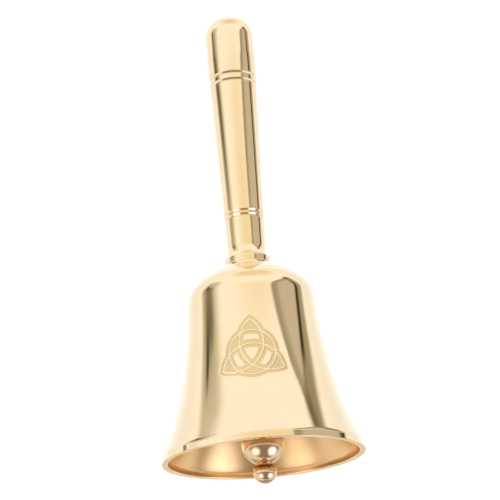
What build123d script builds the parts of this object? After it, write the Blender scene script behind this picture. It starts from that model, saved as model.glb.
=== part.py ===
from build123d import *

import os
from math import cos, radians, sin, sqrt

# Sanctus bell: a small turned brass hand bell, hung mouth down, in millimetres, +Z up to the handle.
# The origin is the centre of the mouth, in the plane of the rim that the bell stands on.

# Bell shell, outside
mouth_radius = 30.0
lip_height = 1.9  # the plain band turned round the rim
lip_taper = 0.15  # how much narrower the band is at its top
waist_radius = 19.4
waist_height = 48.2  # where the side ends and the shoulder begins
flare_slope = 0.42  # outward lean of the side just above the lip, mm per mm
waist_slope = 0.06  # outward lean of the side at the waist, mm per mm
flare_reach = 12.4  # how far the lower lean carries up the side
waist_reach = 21.6  # how far the upper lean carries down the side
shoulder_rise = 11.4  # from the waist to the seat of the collar
shoulder_reach = 6.9  # how far the side's lean carries up into the shoulder
crown_reach = 2.5  # how far the crown's fall carries out from the collar
crown_fall = 34.0  # degrees below level, at the edge of the collar

# Bell shell, inside
wall = 1.75
lip_thickness = 1.8
crown_thickness = 2.0
inner_reach = 6.0  # the shoulder's roundness inside
inner_crown_reach = 6.5
edge_break = 0.2  # the small chamfer on turned edges

# Neck collar
collar_radius = 7.15
collar_height = 2.1
crown_land = 0.15  # how far the crown's seat stands out past the collar

# Handle
foot_radius = 6.9  # where the handle's cove meets the collar
cove_height = 3.4
neck_radius = 5.92  # the thinnest part, just above the cove
taper_height = 62.9
grip_radius = 7.75
grip_height = 8.2  # the parallel length below the domed end
lower_groove_height = 13.5  # from the foot to the middle of the lower pair
lower_groove_gap = 1.35
lower_groove_width = 1.05
upper_groove_height = 58.7
upper_groove_gap = 2.35
upper_groove_width = 1.15
groove_depth = 0.36

# Eye bolt, washer and nut that hold the handle, collar and shell together (M4)
stud_radius = 2.0
thread_clearance = 0.02  # radial, where a thread is drawn as a plain cylinder
stud_hole_clearance = 0.15
stud_engagement = 12.0  # how far the stud goes up into the handle
stud_end_chamfer = 0.4
bore_spare = 1.5
nut_across_flats = 7.0
nut_height = 3.2
washer_radius = 5.6
washer_thickness = 0.8
washer_land_spare = 0.4  # how far the flat under the crown stands out past the washer
eye_radius = 3.0  # to the middle of the wire
eye_wire_radius = 0.9
eye_drop = 7.9  # plain shank from the nut to the eye: hung this low, the clapper can lie within the rim

# Hanger ring
ring_radius = 3.8
ring_wire_radius = 0.7
link_clearance = 0.2  # between two wires that hang on each other

# Clapper
striker_radius = 6.37
striker_height = 4.43  # the striker's centre above the rim
tail_radius = 3.54
tail_offset = 8.22  # between the two centres
stem_radius = 1.4
stem_hole_radius = 1.5
stem_eye_radius = 2.9
stem_eye_thickness = 1.8
stem_hole_chamfer = 0.3
stem_web = 0.4  # metal between the hole and the top of the neck
stem_neck_height = 2.4
stem_neck_spread = 0.3  # how much wider the neck is than the eye, where it meets it
stem_collar_radius = 2.2
stem_collar_height = 1.0
stem_engagement = 3.6  # how far the stem goes down into the tail ball
tail_bore_spare = 0.4

# Places that follow from the sizes
crown_height = waist_height + shoulder_rise
crown_inner_height = crown_height - crown_thickness
crown_seat_radius = collar_radius + crown_land
collar_top = crown_height + collar_height
nut_top = crown_inner_height - washer_thickness
nut_bottom = nut_top - nut_height
eye_height = nut_bottom - eye_drop - eye_wire_radius - eye_radius
ring_top = eye_height - eye_radius + eye_wire_radius + link_clearance + ring_wire_radius
ring_height = ring_top - ring_radius
ring_bottom = ring_height - ring_radius
stem_hole_height = ring_bottom + ring_wire_radius + link_clearance - stem_hole_radius
tail_height = striker_height - tail_offset
# The two balls meet in the circle where their spheres cross.
seat_drop = (tail_offset**2 + striker_radius**2 - tail_radius**2) / (2 * tail_offset)
ball_seat = striker_height - seat_drop
stem_seat = striker_height + sqrt(striker_radius**2 - stem_collar_radius**2)
washer_land = washer_radius + washer_land_spare


def side(inset):
    """The side from the top of the lip to the waist, moved inwards by inset."""
    lip_top = mouth_radius - lip_taper
    return Bezier(
        (lip_top - inset, lip_height),
        (lip_top - inset - flare_slope * flare_reach, lip_height + flare_reach),
        (waist_radius - inset + waist_slope * waist_reach, waist_height - waist_reach),
        (waist_radius - inset, waist_height),
    )


with BuildPart() as bell_shell:
    with BuildSketch(Plane.XZ):
        with BuildLine():
            outer_side = side(0)
            shoulder = Bezier(
                outer_side @ 1,
                (waist_radius - waist_slope * shoulder_reach, waist_height + shoulder_reach),
                (
                    crown_seat_radius + crown_reach * cos(radians(crown_fall)),
                    crown_height - crown_reach * sin(radians(crown_fall)),
                ),
                (crown_seat_radius, crown_height),
            )
            inner_side = side(wall)
            inner_shoulder = Bezier(
                inner_side @ 1,
                (waist_radius - wall - waist_slope * inner_reach, waist_height + inner_reach),
                (washer_land + inner_crown_reach, crown_inner_height),
                (washer_land, crown_inner_height),
            )
            Polyline(shoulder @ 1, (0, crown_height), (0, crown_inner_height), inner_shoulder @ 1)
            Polyline(
                inner_side @ 0,
                (mouth_radius - lip_thickness, edge_break),
                (mouth_radius - lip_thickness + edge_break, 0),
                (mouth_radius - edge_break, 0),
                (mouth_radius, edge_break),
                outer_side @ 0,
            )
        make_face()
    revolve(axis=Axis.Z)
    with Locations((0, 0, crown_height)):
        Hole(stud_radius + stud_hole_clearance, crown_thickness)

with BuildPart() as neck_collar:
    with BuildSketch(Plane.XY.offset(crown_height)):
        Circle(collar_radius)
        Circle(stud_radius + stud_hole_clearance, mode=Mode.SUBTRACT)
    extrude(amount=collar_height)
    rims = neck_collar.edges().filter_by(GeomType.CIRCLE).group_by(SortBy.RADIUS)[-1]
    chamfer(rims, edge_break)

handle_foot = collar_top
cove_top = handle_foot + cove_height
taper_top = cove_top + taper_height
dome_centre = taper_top + grip_height


def handle_radius(height):
    """The radius of the plain taper, at a height above the rim."""
    share = (height - cove_top) / taper_height
    return neck_radius + (grip_radius - neck_radius) * share


with BuildPart() as handle:
    with BuildSketch(Plane.XZ):
        with BuildLine():
            cove = TangentArc(
                (neck_radius, cove_top), (foot_radius, handle_foot), tangent=(0, -1)
            )
            Polyline((neck_radius, cove_top), (grip_radius, taper_top), (grip_radius, dome_centre))
            dome = RadiusArc((grip_radius, dome_centre), (0, dome_centre + grip_radius), -grip_radius)
            Polyline(dome @ 1, (0, handle_foot), cove @ 1)
        make_face()
    revolve(axis=Axis.Z)
    # Two pairs of V grooves, each V drawn to twice its depth so that it clears the taper
    for middle, gap, width in (
        (handle_foot + lower_groove_height, lower_groove_gap, lower_groove_width),
        (handle_foot + upper_groove_height, upper_groove_gap, upper_groove_width),
    ):
        for height in (middle - gap / 2, middle + gap / 2):
            surface = handle_radius(height)
            with BuildSketch(Plane.XZ):
                with BuildLine():
                    Polyline(
                        (surface - groove_depth, height),
                        (surface + groove_depth, height - width),
                        (surface + groove_depth, height + width),
                        close=True,
                    )
                make_face()
            revolve(axis=Axis.Z, mode=Mode.SUBTRACT)
    with BuildSketch(Plane.XY.offset(handle_foot)):
        Circle(stud_radius + thread_clearance)
    extrude(amount=stud_engagement + bore_spare, mode=Mode.SUBTRACT)

with BuildPart() as crown_washer:
    with BuildSketch(Plane.XY.offset(nut_top)):
        Circle(washer_radius)
        Circle(stud_radius + stud_hole_clearance, mode=Mode.SUBTRACT)
    extrude(amount=washer_thickness)

with BuildPart() as lock_nut:
    with BuildSketch(Plane.XY.offset(nut_bottom)):
        RegularPolygon(nut_across_flats / 2, 6, major_radius=False)
        Circle(stud_radius + thread_clearance, mode=Mode.SUBTRACT)
    extrude(amount=nut_height)
    # The corners are turned off at both ends, as on any bright nut.
    with BuildSketch(Plane.XZ):
        nut_corner = nut_across_flats / 2 / cos(radians(30))
        turned_off = nut_corner - nut_across_flats / 2
        with BuildLine():
            Polyline(
                (0, nut_bottom),
                (nut_across_flats / 2, nut_bottom),
                (nut_corner, nut_bottom + turned_off / 2),
                (nut_corner, nut_top - turned_off / 2),
                (nut_across_flats / 2, nut_top),
                (0, nut_top),
                close=True,
            )
        make_face()
    revolve(axis=Axis.Z, mode=Mode.INTERSECT)

with BuildPart() as eye_bolt:
    with Locations((0, 0, eye_height)):
        Torus(eye_radius, eye_wire_radius, rotation=(90, 0, 0))
    with BuildSketch(Plane.XY.offset(eye_height + eye_radius)):
        Circle(stud_radius)
    stud_top = handle_foot + stud_engagement
    extrude(amount=stud_top - eye_height - eye_radius)
    chamfer(eye_bolt.faces().sort_by(Axis.Z)[-1].edges(), stud_end_chamfer)

with BuildPart() as hanger_ring:
    with Locations((0, 0, ring_height)):
        Torus(ring_radius, ring_wire_radius, rotation=(0, 90, 0))

with BuildPart() as clapper_stem:
    with BuildSketch(Plane.XZ.offset(-stem_eye_thickness / 2)):
        with Locations((0, stem_hole_height)):
            Circle(stem_eye_radius)
    extrude(amount=stem_eye_thickness)
    with BuildSketch(Plane.XZ):
        neck_top = stem_hole_height - stem_hole_radius - stem_web
        stem_bottom = ball_seat - stem_engagement
        with BuildLine():
            Polyline(
                (0, neck_top),
                (stem_eye_thickness / 2 + stem_neck_spread, neck_top),
                (stem_radius, neck_top - stem_neck_height),
                (stem_radius, stem_seat + stem_collar_height),
                (stem_collar_radius, stem_seat + stem_collar_height),
                (stem_collar_radius, stem_seat),
                (stem_radius, stem_seat),
                (stem_radius, stem_bottom),
                (0, stem_bottom),
                close=True,
            )
        make_face()
    revolve(axis=Axis.Z)
    with BuildSketch(Plane.XZ.offset(-stem_eye_thickness / 2)):
        with Locations((0, stem_hole_height)):
            Circle(stem_hole_radius)
    extrude(amount=stem_eye_thickness, mode=Mode.SUBTRACT)
    hole_rims = clapper_stem.edges().filter_by(GeomType.CIRCLE).filter_by(
        lambda rim: abs(rim.radius - stem_hole_radius) < 1e-3
        and abs(rim.arc_center.Z - stem_hole_height) < 1e-3
    )
    chamfer(hole_rims, stem_hole_chamfer)

with BuildPart() as striker_ball:
    with Locations((0, 0, striker_height)):
        Sphere(striker_radius)
    # Flat seats, above for the stem's collar and below for the tail ball
    for seat, side_of_seat in ((stem_seat, 1), (ball_seat, -1)):
        with Locations((0, 0, seat + side_of_seat * striker_radius)):
            Box(*[2 * striker_radius] * 3, mode=Mode.SUBTRACT)
    with Locations((0, 0, striker_height)):
        Hole(stem_radius + thread_clearance)

with BuildPart() as tail_ball:
    with Locations((0, 0, tail_height)):
        Sphere(tail_radius)
    with Locations((0, 0, ball_seat + tail_radius)):
        Box(*[2 * tail_radius] * 3, mode=Mode.SUBTRACT)
    with BuildSketch(Plane.XY.offset(ball_seat)):
        Circle(stem_radius + thread_clearance)
    extrude(amount=-stem_engagement - tail_bore_spare, mode=Mode.SUBTRACT)

pieces = {
    "bell_shell": bell_shell,
    "neck_collar": neck_collar,
    "handle": handle,
    "crown_washer": crown_washer,
    "lock_nut": lock_nut,
    "eye_bolt": eye_bolt,
    "hanger_ring": hanger_ring,
    "clapper_stem": clapper_stem,
    "striker_ball": striker_ball,
    "tail_ball": tail_ball,
}
os.makedirs("parts", exist_ok=True)
for name, piece in pieces.items():
    piece.part.label = name
    export_step(piece.part, f"parts/{name}.step")
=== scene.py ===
"""A small polished brass sanctus bell: the looks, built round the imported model.
Shapes are worked out in millimetres, +Z up the bell's axis, front towards -Y, and put into the
meshes in metres."""

from math import cos, pi, radians, sin, sqrt

import bpy
import numpy as np
from mathutils import Matrix, Vector


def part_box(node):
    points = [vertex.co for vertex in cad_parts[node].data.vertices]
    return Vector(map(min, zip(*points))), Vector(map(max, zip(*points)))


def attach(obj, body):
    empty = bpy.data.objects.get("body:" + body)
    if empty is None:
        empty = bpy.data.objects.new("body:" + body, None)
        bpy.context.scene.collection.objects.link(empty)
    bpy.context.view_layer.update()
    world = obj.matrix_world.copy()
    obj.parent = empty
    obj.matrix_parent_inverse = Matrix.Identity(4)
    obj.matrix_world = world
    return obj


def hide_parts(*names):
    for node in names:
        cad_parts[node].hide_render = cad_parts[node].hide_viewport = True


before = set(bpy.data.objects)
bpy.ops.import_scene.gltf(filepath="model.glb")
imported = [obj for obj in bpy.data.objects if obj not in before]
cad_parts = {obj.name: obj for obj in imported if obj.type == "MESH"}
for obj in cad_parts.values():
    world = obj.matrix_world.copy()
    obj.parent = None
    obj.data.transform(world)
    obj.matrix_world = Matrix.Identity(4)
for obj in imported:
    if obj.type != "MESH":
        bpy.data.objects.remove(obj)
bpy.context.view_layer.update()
MM = 0.001


def box(node):
    """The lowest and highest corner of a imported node, in millimetres."""
    return [np.array(corner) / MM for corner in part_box(node)]


shell_high = box("bell_shell")[1]
collar_low, collar_high = box("neck_collar")
handle_low, handle_high = box("handle")
washer_low, washer_high = box("crown_washer")
nut_low, nut_high = box("lock_nut")
bolt_low, bolt_high = box("eye_bolt")
ring_low, ring_high = box("hanger_ring")
stem_low, stem_high = box("clapper_stem")
striker_high = box("striker_ball")[1]
tail_high = box("tail_ball")[1]

# the stud through the crown, its clearance holes, and its bores in the handle and the nut
STUD_RADIUS, STUD_HOLE_RADIUS, STUD_BORE_RADIUS = 2.0, 2.15, 2.02
# the clapper's stem, its bores in the balls, and the flat eye at its top
STEM_RADIUS, STEM_BORE_RADIUS = 1.4, 1.42
STEM_EYE_RADIUS, STEM_EYE_HOLE, STEM_EYE_HALF = 2.9, 1.5, 0.9


# ---------- camera ----------

def place_camera():
    """A long lens a little below the mouth, looking up, rolled so that the handle leans to the
    left."""
    pitch, roll = radians(18.81), radians(4.764)
    focal_length, stand = 115.848, Vector((0.98, -466.3, -94.0))
    ahead = Vector((0, cos(pitch), sin(pitch)))
    right = Vector((1, 0, 0))
    up = right.cross(ahead)
    rolled_right = right * cos(roll) - up * sin(roll)
    rolled_up = right * sin(roll) + up * cos(roll)
    data = bpy.data.cameras.new("camera")
    data.sensor_width = 36.0
    data.lens = focal_length
    data.clip_start, data.clip_end = 0.01, 50
    camera = bpy.data.objects.new("camera", data)
    bpy.context.scene.collection.objects.link(camera)
    turn = Matrix((rolled_right, rolled_up, -ahead)).transposed().to_4x4()
    camera.matrix_world = Matrix.Translation(stand * MM) @ turn
    bpy.context.scene.camera = camera


# ---------- materials ----------

def linear(hex_colour):
    """sRGB hex to linear RGBA."""
    parts = [int(hex_colour[i:i + 2], 16) / 255 for i in (1, 3, 5)]
    return [c / 12.92 if c <= 0.04045 else ((c + 0.055) / 1.055) ** 2.4 for c in parts] + [1.0]


def add(tree, kind, settings=(), links=()):
    """Adds one node: settings are (input or property, value), links are (input, output socket)."""
    node = tree.nodes.new(kind)
    for name, value in settings:
        if isinstance(name, int) or name in node.inputs:
            node.inputs[name].default_value = value
        else:
            setattr(node, name, value)
    for name, socket in links:
        tree.links.new(socket, node.inputs[name])
    return node


def brass(
    name, colour, tarnish, roughness, spread, turning_pitch, turning_depth,
    frosting=None, lacquer=None,
):
    """Brass of one finish. Its tone drifts a little from colour to tarnish in clouds a few
    millimetres across, and its gloss with it. The lathe and the buffing wheel leave fine rings
    round the axis, turning_pitch apart and turning_depth deep. Where a surface has been frosted,
    its attribute of that name is 1. lacquer is the roughness of the clear coat, if there is one."""
    material = bpy.data.materials.new(name)
    material.use_nodes = True
    tree = material.node_tree
    shader = tree.nodes["Principled BSDF"]
    shader.inputs["Metallic"].default_value = 1.0
    if lacquer:
        shader.inputs["Coat Weight"].default_value = 1.0
        shader.inputs["Coat IOR"].default_value = 1.5
        shader.inputs["Coat Roughness"].default_value = lacquer
    cloud_size, grit_size = 6.0, 0.2
    place = add(tree, "ShaderNodeTexCoord")
    clouds = add(
        tree, "ShaderNodeTexNoise", [("Scale", 1 / (cloud_size * MM)), ("Detail", 3.0)],
        [("Vector", place.outputs["Object"])],
    )
    tone = add(
        tree, "ShaderNodeMix",
        [("data_type", "RGBA"), (6, linear(colour)), (7, linear(tarnish))],
        [("Factor", clouds.outputs["Fac"])],
    )
    gloss = add(
        tree, "ShaderNodeMapRange",
        [("To Min", roughness * (1 - spread)), ("To Max", roughness * (1 + spread))],
        [("Value", clouds.outputs["Fac"])],
    )
    # rings: a noise squeezed so that it changes with height only
    squeezed = add(
        tree, "ShaderNodeMapping", [("Scale", (0.0, 0.0, 1 / (turning_pitch * MM)))],
        [("Vector", place.outputs["Object"])],
    )
    rings = add(
        tree, "ShaderNodeTexNoise", [("Scale", 1.0), ("Detail", 2.0)],
        [("Vector", squeezed.outputs["Vector"])],
    )
    ripple = add(
        tree, "ShaderNodeBump", [("Strength", 1.0), ("Distance", turning_depth * MM)],
        [("Height", rings.outputs["Fac"])],
    )
    colour_out, gloss_out = tone.outputs[2], gloss.outputs["Result"]
    normal_out = ripple.outputs["Normal"]
    if frosting:
        etched = add(tree, "ShaderNodeAttribute", [("attribute_name", frosting["attribute"])])
        # grit a fifth of a millimetre across, coarser than the real etch so that it shows
        grit = add(
            tree, "ShaderNodeTexNoise", [("Scale", 1 / (grit_size * MM)), ("Detail", 3.0)],
            [("Vector", place.outputs["Object"])],
        )
        frosted_tone = add(
            tree, "ShaderNodeMix",
            [("data_type", "RGBA"), (6, linear(frosting["dark"])), (7, linear(frosting["light"]))],
            [("Factor", grit.outputs["Fac"])],
        )
        colour_mix = add(
            tree, "ShaderNodeMix", [("data_type", "RGBA")],
            [("Factor", etched.outputs["Fac"]), (6, colour_out), (7, frosted_tone.outputs[2])],
        )
        gloss_mix = add(
            tree, "ShaderNodeMix", [("B", frosting["roughness"])],
            [("Factor", etched.outputs["Fac"]), ("A", gloss_out)],
        )
        pitted = add(
            tree, "ShaderNodeMath", [("operation", "MULTIPLY")],
            [(0, grit.outputs["Fac"]), (1, etched.outputs["Fac"])],
        )
        pits = add(
            tree, "ShaderNodeBump", [("Strength", 1.0), ("Distance", frosting["depth"] * MM)],
            [("Height", pitted.outputs["Value"]), ("Normal", normal_out)],
        )
        colour_out, gloss_out = colour_mix.outputs[2], gloss_mix.outputs[0]
        normal_out = pits.outputs["Normal"]
    tree.links.new(colour_out, shader.inputs["Base Color"])
    tree.links.new(gloss_out, shader.inputs["Roughness"])
    tree.links.new(normal_out, shader.inputs["Normal"])
    return material


# ---------- surfaces ----------

CRISP_EDGE = radians(38)


def make_piece(
    name, points, faces, materials, body, slot, replaced, attributes=None, finishes=None,
):
    """Puts a worked-out surface into a mesh in metres, smooth but for its crisp edges, parents it
    to its body and hides the imported part that it replaces. attributes are values for each point,
    finishes the place of each face's material in materials."""
    mesh = bpy.data.meshes.new(name)
    mesh.from_pydata(np.asarray(points) * MM, [], [list(face) for face in faces])
    mesh.polygons.foreach_set("use_smooth", np.ones(len(mesh.polygons), bool))
    for material in materials:
        mesh.materials.append(material)
    if finishes is not None:
        mesh.polygons.foreach_set("material_index", np.asarray(finishes, np.int32))
    for key, values in (attributes or {}).items():
        layer = mesh.attributes.new(key, "FLOAT", "POINT")
        layer.data.foreach_set("value", np.asarray(values, np.float32))
    mesh.set_sharp_from_angle(angle=CRISP_EDGE)
    mesh.update()
    piece = bpy.data.objects.new(name, mesh)
    bpy.context.scene.collection.objects.link(piece)
    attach(piece, body)
    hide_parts(replaced)
    return piece


def grid_faces(rows, columns, wrap_rows=False):
    """Quads of a grid whose columns close round, row by row."""
    last = rows if wrap_rows else rows - 1
    row, column = np.meshgrid(np.arange(last), np.arange(columns), indexing="ij")
    above, beside = (row + 1) % rows * columns, (column + 1) % columns
    row = row * columns
    corners = (row + column, row + beside, above + beside, above + column)
    return np.stack([c.ravel() for c in corners], 1)


def round_axis(radius, height, angle):
    """Points at a radius and height for each angle: x = radius sin angle, y = -radius cos angle."""
    return np.stack([radius * np.sin(angle), -radius * np.cos(angle), height + 0 * angle], -1)


def capped(points, faces, columns, low, high):
    """Closes the first and last row of a round grid, each with a fan to a point on the axis."""
    here = np.arange(columns)
    beside = (here + 1) % columns
    top = len(points) - columns
    low_point, high_point = here * 0 + len(points), here * 0 + len(points) + 1
    faces = faces + np.stack([low_point, beside, here], 1).tolist()
    faces += np.stack([high_point, top + here, top + beside], 1).tolist()
    return np.vstack([points, [(0, 0, low), (0, 0, high)]]), faces


def turned(outline, columns=160):
    """A closed turned form: the outline's radius and height carried once round Z. An outline that
    starts and ends on the axis is closed by a point at each end; any other closes on itself. It
    goes up the outside."""
    outline = np.asarray(outline, float)
    angle = np.linspace(0, 2 * pi, columns, endpoint=False)[None, :]
    solid = outline[0, 0] == 0
    rows = outline[1:-1] if solid else outline
    points = round_axis(rows[:, :1], rows[:, 1:], angle).reshape(-1, 3)
    faces = grid_faces(len(rows), columns, wrap_rows=not solid).tolist()
    if solid:
        points, faces = capped(points, faces, columns, outline[0, 1], outline[-1, 1])
    return points, faces


def curve(p0, p1, p2, p3, count):
    """A cubic Bezier: the four points weighted by the third powers of share and rest."""
    share = np.linspace(0, 1, count)[:, None]
    rest = 1 - share
    p0, p1, p2, p3 = (np.array(p, float) for p in (p0, p1, p2, p3))
    return rest**3 * p0 + 3 * rest**2 * share * p1 + 3 * rest * share**2 * p2 + share**3 * p3


def eased(corners, closed=True, steps=5):
    """An outline whose corners (radius, height, rounding) are rounded: each corner becomes a
    parabola between two points its rounding away along its sides, with one more point beyond each
    to keep the flats flat."""
    support_reach = 1.35
    places = np.array([c[:2] for c in corners], float)
    result = []
    for i, (_, _, rounding) in enumerate(corners):
        here = places[i]
        if rounding == 0 or (not closed and i in (0, len(corners) - 1)):
            result.append(here)
            continue
        back, on = places[i - 1] - here, places[(i + 1) % len(corners)] - here
        back_length, on_length = np.linalg.norm(back), np.linalg.norm(on)
        back, on = back / back_length, on / on_length
        support = support_reach * rounding
        if support < 0.5 * back_length:
            result.append(here + back * support)
        for share in np.linspace(0, 1, steps):
            result.append(here + back * rounding * (1 - share) ** 2 + on * rounding * share**2)
        if support < 0.5 * on_length:
            result.append(here + on * support)
    return np.array(result)


def smooth_step(low, high, value):
    """0 below low, 1 above high, and the cubic 3t^2 - 2t^3 between them."""
    t = np.clip((value - low) / (high - low), 0, 1)
    return t * t * (3 - 2 * t)


def joined(*shells):
    """The union of closed shells that overlap, as one closed mesh: points and faces."""
    objects = []
    for number, (points, faces) in enumerate(shells):
        mesh = bpy.data.meshes.new("part of a joint")
        mesh.from_pydata(np.asarray(points), [], [list(f) for f in faces])
        mesh.update()
        objects.append(bpy.data.objects.new(f"part {number} of a joint", mesh))
        bpy.context.scene.collection.objects.link(objects[-1])
    for other in objects[1:]:
        union = objects[0].modifiers.new("union", "BOOLEAN")
        union.operation, union.solver, union.object = "UNION", "EXACT", other
    graph = bpy.context.evaluated_depsgraph_get()
    result = objects[0].evaluated_get(graph).to_mesh()
    points = np.array([v.co[:] for v in result.vertices])
    faces = [tuple(p.vertices) for p in result.polygons]
    for thing in objects:
        mesh = thing.data
        bpy.data.objects.remove(thing)
        bpy.data.meshes.remove(mesh)
    return points, faces


# ---------- engraved knot ----------

KNOT_AZIMUTH, KNOT_HEIGHT = radians(-2.1), 26.7
RING_RADIUS, LOBE_RADIUS, LOBE_OFFSET = 7.0, 9.15, 6.4
LINE_HALF, GROUND_MARGIN, ISLAND_INSET = 0.24, 1.0, 1.2
LINE_SLOPE, ISLAND_SLOPE = 0.07, 0.1  # half the width over which the cut falls to its ground
ENGRAVED_DEPTH = 0.13


def knot_ground(across, along):
    """Where the ground of the knot is cut away and frosted, 0 to 1, at places measured along the
    surface from its middle. Three circles, their middles a third of a turn apart, cross in pairs as
    three pointed lobes, with a ring through them. The ground fills the ring and the lobes and a
    margin beyond. The lines stay at full height, as do four islands: where all three circles
    overlap, and where two do inside the ring, each a little inside its lines."""
    place = np.stack([across, along], -1)
    from_middle = np.linalg.norm(place, axis=-1)
    middles = [LOBE_OFFSET * np.array([cos(a), sin(a)]) for a in np.radians([30, 150, 270])]
    reaches = [np.linalg.norm(place - m, axis=-1) for m in middles]
    tip_distance = LOBE_OFFSET / 2 + sqrt(LOBE_RADIUS**2 - 0.75 * LOBE_OFFSET**2)
    tips = [tip_distance * np.array([cos(a), sin(a)]) for a in np.radians([90, 210, 330])]
    line = np.abs(from_middle - RING_RADIUS)
    ground = from_middle - RING_RADIUS - GROUND_MARGIN
    for i in range(3):
        others = [middles[(i + 1) % 3], middles[(i + 2) % 3]]
        outward = (place - middles[i]) / np.maximum(reaches[i], 1e-6)[..., None]
        nearest = middles[i] + LOBE_RADIUS * outward
        on_arc = np.any(
            [np.linalg.norm(nearest - o, axis=-1) <= LOBE_RADIUS for o in others], axis=0
        )
        to_tip = np.min([np.linalg.norm(place - t, axis=-1) for t in tips], axis=0)
        line = np.minimum(line, np.where(on_arc, np.abs(reaches[i] - LOBE_RADIUS), to_tip))
        pair = np.maximum(reaches[i], reaches[(i + 1) % 3]) - LOBE_RADIUS - GROUND_MARGIN
        ground = np.minimum(ground, pair)
    inside = np.sum([r < LOBE_RADIUS for r in reaches], axis=0)
    cell = (inside == 3) | ((inside == 2) & (from_middle < RING_RADIUS))
    raised = np.maximum(
        1 - smooth_step(LINE_HALF - LINE_SLOPE, LINE_HALF + LINE_SLOPE, line),
        np.where(
            cell, smooth_step(ISLAND_INSET - ISLAND_SLOPE, ISLAND_INSET + ISLAND_SLOPE, line), 0
        ),
    )
    return (1 - smooth_step(-LINE_SLOPE, LINE_SLOPE, ground)) * (1 - raised)


# ---------- bell ----------

def bell_surface():
    """The bell's outline, up the outside from the lip and down the inside, carried round Z. The
    side, the shoulder and the ceiling are cubic Bezier curves, and the inner wall is the side moved
    in by the wall. The knot's depth is taken off the radius where its ground is cut away, and the
    rows and columns crowd together there."""
    mouth = shell_high[0]
    crown = shell_high[2]
    crown_inside = washer_high[2]
    lip_height, lip_inside, wall = 1.9, 28.2, 1.75
    waist_radius, waist_height = 19.4, 48.2
    seat_radius, seat_slope, seat_pull = collar_high[0] + 0.15, radians(34), 2.5
    hole_radius, hole_chamfer, edge = STUD_HOLE_RADIUS, 0.3, 0.15
    knot_row, knot_column, knot_half_angle = 0.12, 0.335, 27.5
    lip = eased([
        (lip_inside, 1.0, 0), (lip_inside, 0, 0.3), (mouth, 0, 0.16), (mouth - 0.05, 1.78, 0.09),
        (mouth - 0.16, 1.86, 0.0),
    ], closed=False)
    side = curve(
        (29.85, lip_height), (24.64, 14.3), (20.70, 26.6), (waist_radius, waist_height), 1500
    )
    knot_low, knot_high = KNOT_HEIGHT - 9.2, KNOT_HEIGHT + 12.6
    heights = np.concatenate([
        np.linspace(lip_height, knot_low, 18)[:-1], np.arange(knot_low, knot_high, knot_row),
        np.linspace(knot_high, waist_height, 10),
    ])
    outside = np.stack([np.interp(heights, side[:, 1], side[:, 0]), heights], 1)
    shoulder = curve(
        (waist_radius, waist_height), (18.99, 55.1),
        (seat_radius + seat_pull * cos(seat_slope), crown - seat_pull * sin(seat_slope)),
        (seat_radius, crown), 44,
    )[1:]
    hole = [
        (hole_radius + hole_chamfer, crown), (hole_radius, crown - edge),
        (hole_radius, crown_inside + edge), (hole_radius + hole_chamfer, crown_inside),
    ]
    ceiling = curve(
        (6.0, crown_inside), (12.5, crown_inside), (17.29, 54.2),
        (waist_radius - wall, waist_height), 26,
    )
    inner_heights = np.linspace(waist_height, lip_height + 0.25, 30)[1:]
    inner = np.stack([np.interp(inner_heights, side[:, 1], side[:, 0]) - wall, inner_heights], 1)
    # the inner wall meets the lip's bore in a soft corner
    corner = [(lip_inside - 0.06, lip_height - 0.2)]
    outline = np.concatenate([lip, outside, shoulder, hole, ceiling, inner, corner])
    knot_columns = KNOT_AZIMUTH + np.radians(
        np.arange(-knot_half_angle, knot_half_angle, knot_column)
    )
    plain_columns = np.linspace(knot_columns[-1], knot_columns[0] + 2 * pi, 101)[1:-1]
    angle = np.concatenate([knot_columns, plain_columns])
    radius = np.repeat(outline[:, :1], len(angle), 1)
    height = outline[:, 1:]
    # arc length up the side, from the middle of the knot
    steps = np.hypot(*np.diff(outside, axis=0).T)
    length = np.concatenate([[0], np.cumsum(steps)])
    length -= np.interp(KNOT_HEIGHT, heights, length)
    first = len(lip)
    rows = slice(first, first + len(outside))
    ground = np.zeros_like(radius)
    ground[rows, :len(knot_columns)] = knot_ground(
        outside[:, :1] * (knot_columns - KNOT_AZIMUTH)[None, :],
        length[:, None] + 0 * knot_columns[None, :],
    )
    radius -= ENGRAVED_DEPTH * ground
    points = round_axis(radius, height, angle[None, :]).reshape(-1, 3)
    faces = grid_faces(len(outline), len(angle), wrap_rows=True)
    row = faces[:, 0] // len(angle)
    # the satin finish, whose darker, more orange tone is painted shade of the hollow, runs from the
    # stud's hole, down the inside, to the bore of the lip
    inside_first = len(lip) + len(outside) + len(shoulder) + 1
    finishes = (row >= inside_first) | (row < 1)
    return points, faces, ground.ravel(), finishes


place_camera()

# polished and lacquered brass: a near mirror whose reflections are a little soft, under a clear
# coat that turns its edges white. The etched ground of the knot is matt and a shade darker, so that
# it reads as tan beside the bright lines.
polished = brass(
    "polished_lacquered_brass", "#F9E4BE", "#F6DDB4", 0.065, 0.35, 0.5, 0.0005,
    {
        "attribute": "frosted", "dark": "#DDC08C", "light": "#F0D7A6",
        "roughness": 0.42, "depth": 0.02,
    },
    lacquer=0.035,
)
# the inside is left as it was turned, satin, so that it glows instead of mirroring; its tone,
# darker and more orange than the outside's, is painted shade of the hollow
satin_shaded = brass("satin_brass_painted_shade", "#F1CE9E", "#E9BD86", 0.25, 0.2, 0.35, 0.004)
# machined bar, dull and a little oxidised
machined = brass("dull_machined_brass", "#D9B878", "#C6A262", 0.26, 0.25, 0.25, 0.004)
# copper-rich brass, polished: pinker than the bell
rose = brass("polished_rose_brass", "#EBD0B2", "#E3C2A0", 0.13, 0.3, 0.4, 0.0008)

# the inside takes the satin brass, whose darker tone is painted shade
points, faces, ground, finishes = bell_surface()
make_piece(
    "engraved_bell", points, faces, [polished, satin_shaded], "root", "polished_brass", "bell_shell",
    {"frosted": ground}, finishes,
)


# ---------- collar and handle ----------

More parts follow.
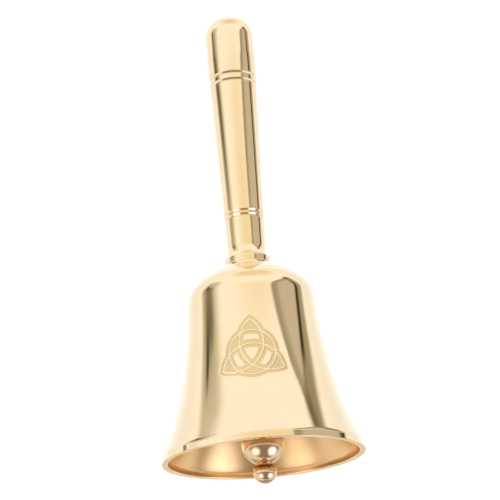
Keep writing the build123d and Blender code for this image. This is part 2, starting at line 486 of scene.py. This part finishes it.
def collar_outline():
    """A plain disc with its corners eased, its hole round the stud."""
    low, high, radius = collar_low[2], collar_high[2], collar_high[0]
    return eased([
        (STUD_HOLE_RADIUS, low, 0.05), (radius, low, 0.22), (radius, high, 0.3),
        (STUD_HOLE_RADIUS, high, 0.05),
    ])


def handle_outline():
    """From the end of the stud's bore down to the foot, up the cove (part of a circle), up the
    straight taper with its two pairs of V grooves, and over the domed end (a quarter circle). A
    groove's depth falls in a straight line from its middle to nothing at half its width."""
    foot, top = handle_low[2], handle_high[2]
    foot_radius, neck_radius, grip_radius = 6.9, 5.92, handle_high[0]
    bore_radius, bore_top, bore_cone, chamfer = STUD_BORE_RADIUS, foot + 13.5, 0.6, 0.3
    cove_top, taper_length, groove_depth = foot + 3.4, 62.9, 0.36
    taper_top, dome_centre = cove_top + taper_length, top - grip_radius
    flare = foot_radius - neck_radius
    cove_circle = (flare**2 + (cove_top - foot) ** 2) / (2 * flare)
    # each pair of grooves: the middle's height above the foot, the gap between them, their width
    pairs = [(13.5, 1.35, 1.05), (58.7, 2.35, 1.15)]
    grooves = [
        (foot + middle + side * gap / 2, width) for middle, gap, width in pairs for side in (-1, 1)
    ]
    cove = np.linspace(foot + 0.12, cove_top, 14)
    plain = np.linspace(cove_top, taper_top, 60)[1:]
    near = [g + w * np.linspace(-0.6, 0.6, 25) for g, w in grooves]
    clear = [h for h in plain if all(abs(h - g) > w * 0.7 for g, w in grooves)]
    heights = np.unique(np.concatenate([clear] + near))
    radius = neck_radius + (grip_radius - neck_radius) * (heights - cove_top) / taper_length
    for middle, width in grooves:
        radius -= groove_depth * np.clip(1 - np.abs(heights - middle) / (width / 2), 0, 1)
    cove_radius = neck_radius + cove_circle - np.sqrt(cove_circle**2 - (cove_top - cove) ** 2)
    grip = np.stack([np.full(6, grip_radius), np.linspace(taper_top, dome_centre, 7)[1:]], 1)
    angle = np.linspace(0, pi / 2, 28)[1:-1]
    dome = np.stack([grip_radius * np.cos(angle), dome_centre + grip_radius * np.sin(angle)], 1)
    return np.concatenate([
        [(0, bore_top), (bore_radius, bore_top - bore_cone), (bore_radius, foot + chamfer),
         (bore_radius + chamfer, foot), (foot_radius - 0.3, foot), (foot_radius - 0.1, foot)],
        np.stack([cove_radius, cove], 1), np.stack([radius, heights], 1), grip, dome, [(0, top)],
    ])


make_piece(
    "collar_disc", *turned(collar_outline()), [polished], "root", "polished_brass", "neck_collar"
)
make_piece(
    "turned_handle", *turned(handle_outline(), 200), [polished], "root", "polished_brass", "handle"
)


# ---------- washer, nut and eye bolt ----------

def threaded(radius, low, high, pitch, depth, columns=48, spacing=0.1):
    """A threaded rod from low to high: its radius falls by depth in a V, once in every pitch of
    height and turning with the angle, and less near both ends, which are flat and closed at the
    axis."""
    height = np.arange(low, high + spacing / 2, spacing)[:, None]
    angle = np.linspace(0, 2 * pi, columns, endpoint=False)[None, :]
    phase, end_fade = (height / pitch + angle / (2 * pi)) % 1, 0.6
    fade = smooth_step(low, low + pitch, height)
    fade = fade * (1 - end_fade * smooth_step(high - pitch, high, height))
    reach = radius - depth * fade * (1 - np.abs(2 * phase - 1))
    points = round_axis(reach, height, angle).reshape(-1, 3)
    faces = grid_faces(len(height), columns).tolist()
    return capped(points, faces, columns, low, height[-1, 0])


def nut_surface():
    """A hexagon nut: at each height the smaller of the hexagon's reach, which is the flat's
    distance over the cosine of the angle from it, and the cone that turns its corners off."""
    low, high = nut_low[2], nut_high[2]
    flat, bore, bore_ease = 3.5, STUD_BORE_RADIUS, 0.35
    face = flat - 0.12  # where the cone that turns the corners off meets the face
    columns = 144
    angle = np.linspace(0, 2 * pi, columns, endpoint=False)[None, :]
    from_flat = (angle + radians(30)) % radians(60) - radians(30)
    hexagon = flat / np.cos(from_flat)
    corner = flat / cos(radians(30))
    rise = (corner - flat) / 2
    up_cone, down_cone = (0.25, 0.5, 0.75, 1), (1, 0.75, 0.5, 0.25)
    rows = [(bore, high - 0.4), (bore, low + 0.4), (bore + bore_ease, low)]
    rows += [(flat - 0.25, low), (face, low)]
    rows += [(face + (corner - face) * s, low + rise * s) for s in up_cone]
    rows += [(corner + 1, low + rise * 1.2), (corner + 1, high - rise * 1.2)]
    rows += [(face + (corner - face) * s, high - rise * s) for s in down_cone]
    rows += [(face, high), (flat - 0.25, high), (bore + bore_ease, high)]
    outline = np.array(rows)
    reach = np.minimum(outline[:, :1], hexagon)
    points = round_axis(reach, outline[:, 1:], angle).reshape(-1, 3)
    return points, grid_faces(len(outline), columns, wrap_rows=True)


def wire_ring(radius, wire, centre, plane, gap=0.0, around=96, across=24):
    """A ring of round wire: a circle of the wire's radius carried round a larger one, in the XZ or
    YZ plane. A gap pinches the wire where its two ends meet, at the top."""
    joint_half = 0.16
    along, turn = np.meshgrid(
        np.linspace(0, 2 * pi, around, endpoint=False),
        np.linspace(0, 2 * pi, across, endpoint=False), indexing="ij",
    )
    from_joint = radius * np.minimum(along, 2 * pi - along)
    thickness = wire - gap * np.exp(-((from_joint / joint_half) ** 2))
    out = radius + thickness * np.cos(turn)
    side, flat, up = out * np.sin(along), thickness * np.sin(turn), out * np.cos(along)
    points = (side, flat, up) if plane == "XZ" else (-flat, side, up)
    faces = grid_faces(around, across, wrap_rows=True)
    return np.stack([p.ravel() for p in points], 1) + np.array(centre), faces


washer_outline = eased([
    (STUD_HOLE_RADIUS, washer_low[2], 0.1), (washer_high[0], washer_low[2], 0.15),
    (washer_high[0], washer_high[2], 0.08), (STUD_HOLE_RADIUS, washer_high[2], 0.05),
])
make_piece(
    "plain_washer", *turned(washer_outline, 96), [machined], "root", "plain_brass", "crown_washer"
)
make_piece("hexagon_nut", *nut_surface(), [machined], "root", "plain_brass", "lock_nut")

# the eye of bent wire, the shank that carries it, and the thread from just below the nut
eye_wire, eye_radius = 0.9, 3.0
thread_pitch, thread_depth, root_radius = 0.7, 0.34, STUD_RADIUS - 0.12
eye_centre = bolt_low[2] + eye_radius + eye_wire
eye_top, shank_end = eye_centre + eye_radius, nut_low[2] - 2.4
shank_outline = eased([
    (0, eye_top - 0.55, 0), (1.05, eye_top - 0.35, 0.35), (STUD_RADIUS, eye_top + 1.5, 0.5),
    (STUD_RADIUS, shank_end - 0.6, 0.1), (root_radius, shank_end - 0.4, 0.1),
    (root_radius, shank_end, 0), (0, shank_end, 0),
], closed=False)
bolt = joined(
    wire_ring(eye_radius, eye_wire, (0, 0, eye_centre), "XZ"),
    turned(shank_outline, 48),
    threaded(STUD_RADIUS, shank_end - 0.2, bolt_high[2], thread_pitch, thread_depth),
)
make_piece("threaded_eye_bolt", *bolt, [machined], "root", "plain_brass", "eye_bolt")


# ---------- ring and clapper ----------

ring_wire, joint_gap = 0.7, 0.16
ring_radius = (ring_high[2] - ring_low[2]) / 2 - ring_wire
ring_centre = (ring_high[2] + ring_low[2]) / 2
make_piece(
    "wire_ring", *wire_ring(ring_radius, ring_wire, (0, 0, ring_centre), "YZ", gap=joint_gap),
    [machined], "ring", "plain_brass", "hanger_ring",
)

striker_radius, tail_radius = striker_high[0], tail_high[0]
striker_centre, tail_centre = 4.43, -3.79
seat, stem_seat = tail_high[2], striker_high[2]
tail_bore_depth = 4.0


def drilled_eye():
    """The flat eye at the stem's top, turned about Y: a washer shape with its rims eased, hole and
    all."""
    outer, hole, half = STEM_EYE_RADIUS, STEM_EYE_HOLE, STEM_EYE_HALF
    centre = stem_high[2] - outer
    rims = eased([(hole, -half, 0.3), (outer, -half, 0.25), (outer, half, 0.25), (hole, half, 0.3)])
    points, faces = turned(rims, 72)
    return np.stack([points[:, 0], points[:, 2], -points[:, 1] + centre], 1), faces


def stem_outline():
    """From the bottom of the tail's bore up through both balls, out round the collar that sits on
    the striker, up the rod and in to the neck under the eye."""
    collar_radius, collar_height, neck_length, web = 2.2, 1.0, 2.4, 0.4
    low, collar_top = stem_low[2], stem_seat + collar_height
    neck_top = stem_high[2] - STEM_EYE_RADIUS - STEM_EYE_HOLE - web
    return eased([
        (0, low, 0), (STEM_RADIUS, low, 0.3), (STEM_RADIUS, stem_seat, 0),
        (collar_radius, stem_seat, 0.1), (collar_radius, collar_top, 0.25),
        (STEM_RADIUS, collar_top, 0.15), (STEM_RADIUS, neck_top - neck_length, 0.3),
        (1.2, neck_top, 0.2), (0.5, neck_top + 0.12, 0), (0, neck_top + 0.12, 0),
    ], closed=False)


def ball_outline(centre, radius, low, high, bore, bore_end=None):
    """A ball with a flat seat at high, and at low unless it is None, bored for the stem: the arc
    between the seats, its ends eased. A bore that ends inside closes at the axis."""
    rim, edge = bore + 0.1, 0.1
    start = -pi / 2 if low is None else np.arcsin((low - centre) / radius)
    end = np.arcsin((high - centre) / radius)
    angle = np.linspace(start, end, 64)
    arc = np.stack([radius * np.cos(angle), centre + radius * np.sin(angle)], 1)
    if low is None:
        arc[0, 0] = 0
        blind = [(rim, high), (bore, high - edge), (bore, bore_end), (0, bore_end)]
        return np.concatenate([arc, blind])
    through = [(bore, high - edge), (bore, low + edge), (rim, low)]
    return np.concatenate([through, arc, [(rim, high)]])


stem = joined(turned(stem_outline(), 64), drilled_eye())
striker = ball_outline(striker_centre, striker_radius, seat, stem_seat, STEM_BORE_RADIUS)
tail = ball_outline(
    tail_centre, tail_radius, None, seat, STEM_BORE_RADIUS, seat - tail_bore_depth
)
make_piece("stem_with_eye", *stem, [rose], "clapper", "rose_brass", "clapper_stem")
make_piece(
    "striking_ball", *turned(striker, 96), [rose], "clapper", "rose_brass", "striker_ball"
)
make_piece("small_tail_ball", *turned(tail, 96), [rose], "clapper", "rose_brass", "tail_ball")


# ---------- studio ----------

def soft_shape(azimuth, elevation, edges):
    """1 inside a shape and 0 outside: the product of one smooth step for each edge, which runs from
    one azimuth and elevation to another with the inside on its left, and fades over its softness,
    all in degrees."""
    inside = np.ones_like(azimuth)
    for (a0, e0), (a1, e1), soft in edges:
        run, rise = a1 - a0, e1 - e0
        within = (run * (elevation - e0) - rise * (azimuth - a0)) / sqrt(run**2 + rise**2)
        inside *= smooth_step(-soft / 2, soft / 2, within)
    return inside


def soft_spot(azimuth, elevation, middle, size, soft):
    """1 inside an ellipse of two half widths and 0 outside, fading over its softness as a share of
    its size."""
    out = np.hypot((azimuth - middle[0]) / size[0], (elevation - middle[1]) / size[1])
    return 1 - smooth_step(1 - soft, 1 + soft, out)


def card(name, azimuths, elevations, distance, origin, layers):
    """A curved card that only reflections see: a patch of a sphere round the axis. Its layers, each
    a radiance and where it covers, lie over one another: a layer's share of the light is its cover
    times what is left clear."""
    across = azimuths[1] - azimuths[0] + 1
    up = elevations[1] - elevations[0] + 1
    azimuth, elevation = np.meshgrid(np.linspace(*azimuths, across), np.linspace(*elevations, up))
    light, cover = np.zeros(azimuth.shape + (3,)), np.zeros_like(azimuth)
    for radiance, kind, *shape in layers:
        here = kind(azimuth, elevation, *shape)
        light = light * (1 - here[..., None]) + here[..., None] * np.array(radiance)
        cover = cover * (1 - here) + here
    light /= np.maximum(cover, 1e-4)[..., None]
    a, e = np.radians(azimuth), np.radians(elevation)
    points = distance * np.stack([np.cos(e) * np.sin(a), -np.cos(e) * np.cos(a), np.sin(e)], -1)
    points[..., 2] += origin
    row, column = np.meshgrid(np.arange(up - 1), np.arange(across - 1), indexing="ij")
    first = (row * across + column).ravel()
    mesh = bpy.data.meshes.new(name)
    faces = np.stack([first, first + 1, first + across + 1, first + across], 1)
    mesh.from_pydata(points.reshape(-1, 3), [], faces)
    cover_layer = mesh.attributes.new("cover", "FLOAT", "POINT")
    cover_layer.data.foreach_set("value", cover.ravel().astype(np.float32))
    light_layer = mesh.attributes.new("light", "FLOAT_VECTOR", "POINT")
    light_layer.data.foreach_set("vector", light.ravel().astype(np.float32))
    material = bpy.data.materials.new(name)
    material.use_nodes = True
    tree = material.node_tree
    tree.nodes.clear()
    covered = add(tree, "ShaderNodeAttribute", [("attribute_name", "cover")])
    lit = add(tree, "ShaderNodeAttribute", [("attribute_name", "light")])
    clear = add(tree, "ShaderNodeBsdfTransparent")
    glow = add(tree, "ShaderNodeEmission", [], [("Color", lit.outputs["Vector"])])
    mixed = add(
        tree, "ShaderNodeMixShader", [],
        [(0, covered.outputs["Fac"]), (1, clear.outputs[0]), (2, glow.outputs[0])],
    )
    add(tree, "ShaderNodeOutputMaterial", [], [("Surface", mixed.outputs[0])])
    mesh.materials.append(material)
    thing = bpy.data.objects.new(name, mesh)
    bpy.context.scene.collection.objects.link(thing)
    thing.visible_camera = thing.visible_diffuse = thing.visible_shadow = False


def studio():
    """A white room with a pale floor well below the bell, and round it the cards that the brass
    mirrors: a tan gabled one at the right, a soft grey one at the left, a cream one in front, a tan
    one overhead, a white and a tan one at the back, and two dim ones low down, front and back. The
    front one has a soft light at each side, where the inside and the clapper look."""
    world = bpy.data.worlds.new("white_studio")
    bpy.context.scene.world = world
    world.use_nodes = True
    background = world.node_tree.nodes["Background"]
    background.inputs["Color"].default_value = (1, 1, 1, 1)
    background.inputs["Strength"].default_value = 1.09
    mesh = bpy.data.meshes.new("floor")
    reach, level = 6.0, -0.3
    corners = [(-reach, -reach), (reach, -reach), (reach, reach), (-reach, reach)]
    mesh.from_pydata([(x, y, level) for x, y in corners], [], [(0, 1, 2, 3)])
    material = bpy.data.materials.new("pale_paper")
    material.use_nodes = True
    tree = material.node_tree
    paper = tree.nodes["Principled BSDF"]
    paper.inputs["Base Color"].default_value = linear("#F4F3F1")
    paper.inputs["Roughness"].default_value = 0.9
    # seen from below, the floor is clear
    side = add(tree, "ShaderNodeNewGeometry")
    clear = add(tree, "ShaderNodeBsdfTransparent")
    either = add(
        tree, "ShaderNodeMixShader", [],
        [(0, side.outputs["Backfacing"]), (1, paper.outputs[0]), (2, clear.outputs[0])],
    )
    tree.links.new(either.outputs[0], tree.nodes["Material Output"].inputs["Surface"])
    mesh.materials.append(material)
    floor = bpy.data.objects.new("floor", mesh)
    bpy.context.scene.collection.objects.link(floor)

    # far and near are radii of the cards, middle and mouth the heights that they curve round, in
    # metres; the other radii keep overlapping cards apart
    far, near, middle, mouth = 0.9, 0.26, 0.05, 0.0
    card("right_tan_card", (15, 125), (-8, 60), far, middle, [
        ((0.40, 0.37, 0.27), soft_shape, [
            ((35, 60), (35, 0), 4), ((60, 36.5), (36, 22.8), 3), ((82, 45.5), (60, 36), 3),
            ((120, 45), (70, 45), 4), ((108, 20), (90, 43.5), 9), ((105, 0), (105, 60), 8),
        ]),
        ((0.62, 0.57, 0.50), soft_shape, [
            ((45, 60), (45, 0), 8), ((71, 36), (47, 21), 8), ((93, 43), (69, 35), 8),
            ((94, 14), (78, 34), 2),
        ]),
        ((0.17, 0.14, 0.08), soft_spot, (82, 42), (8, 4), 0.7),
        ((0.34, 0.31, 0.21), soft_spot, (88, 37), (6, 6), 0.8),
        ((0.27, 0.23, 0.16), soft_shape, [
            ((76, 40), (83, 29), 2), ((85, 30), (78, 41), 2), ((120, 40), (60, 40), 3),
        ]),
        ((0.04, 0.03, 0.01), soft_shape, [
            ((80, 31), (95, 14), 3), ((100, 15), (84, 34), 3), ((120, 31), (60, 31), 5),
        ]),
    ])
    card("left_grey_card", (-130, -25), (-8, 60), far, middle, [
        ((0.66, 0.63, 0.52), soft_shape, [
            ((-91, 60), (-98, 10), 10), ((-64, 0), (-60, 60), 20), ((0, 46), (-150, 46), 8),
            ((-150, 13), (0, 13), 5),
        ]),
        ((0.45, 0.42, 0.32), soft_spot, (-83, 25), (11, 11), 0.7),
        ((0.20, 0.18, 0.12), soft_spot, (-80, 25), (8, 4), 0.8),
        ((0.05, 0.04, 0.02), soft_spot, (-85, 30), (2.5, 5), 0.8),
        ((0.30, 0.27, 0.18), soft_shape, [
            ((-99, 60), (-99, 0), 3), ((-93, 0), (-93, 60), 3), ((0, 14), (-150, 14), 3),
        ]),
    ])
    card("front_cream_card", (-60, 80), (-20, 40), 0.93, middle, [
        ((0.97, 0.88, 0.66), soft_spot, (12, 5), (42, 22), 0.5),
    ])
    card("overhead_tan_card", (-90, 130), (40, 88), 0.96, middle, [
        ((0.93, 0.83, 0.63), soft_spot, (25, 84), (100, 24), 0.35),
    ])
    card("back_white_card", (95, 265), (-8, 85), 0.96, middle, [
        ((1.0, 1.0, 0.98), soft_shape, [((108, 90), (108, 0), 24), ((252, 0), (252, 90), 24)]),
        ((1.12, 1.12, 1.12), soft_shape, [((138, 90), (138, 0), 30), ((222, 0), (222, 90), 30)]),
    ])
    card("back_tan_card", (120, 240), (-32, -3), far, mouth, [
        ((0.78, 0.66, 0.48), soft_shape, [
            ((132, 0), (132, -40), 20), ((228, -40), (228, 0), 20), ((240, -6), (120, -6), 4),
            ((120, -26), (240, -26), 8),
        ]),
    ])
    card("dim_low_card", (-110, 130), (-88, -8), near, mouth, [
        ((0.34, 0.28, 0.21), soft_shape, [
            ((-84, 0), (-84, -90), 20), ((104, -90), (104, 0), 20), ((130, -12), (0, -12), 5),
        ]),
        ((1.85, 1.8, 1.8), soft_spot, (-56, -41), (27, 18), 0.6),
        ((2.6, 2.6, 3.0), soft_spot, (68, -42), (27, 18), 0.6),
    ])
    card("dim_low_back_card", (120, 240), (-88, -20), near, mouth, [
        ((0.50, 0.42, 0.36), soft_shape, [
            ((128, 0), (128, -90), 16), ((232, -90), (232, 0), 16), ((240, -30), (120, -30), 12),
        ]),
    ])


studio()
bpy.context.scene.view_settings.view_transform = "Standard"
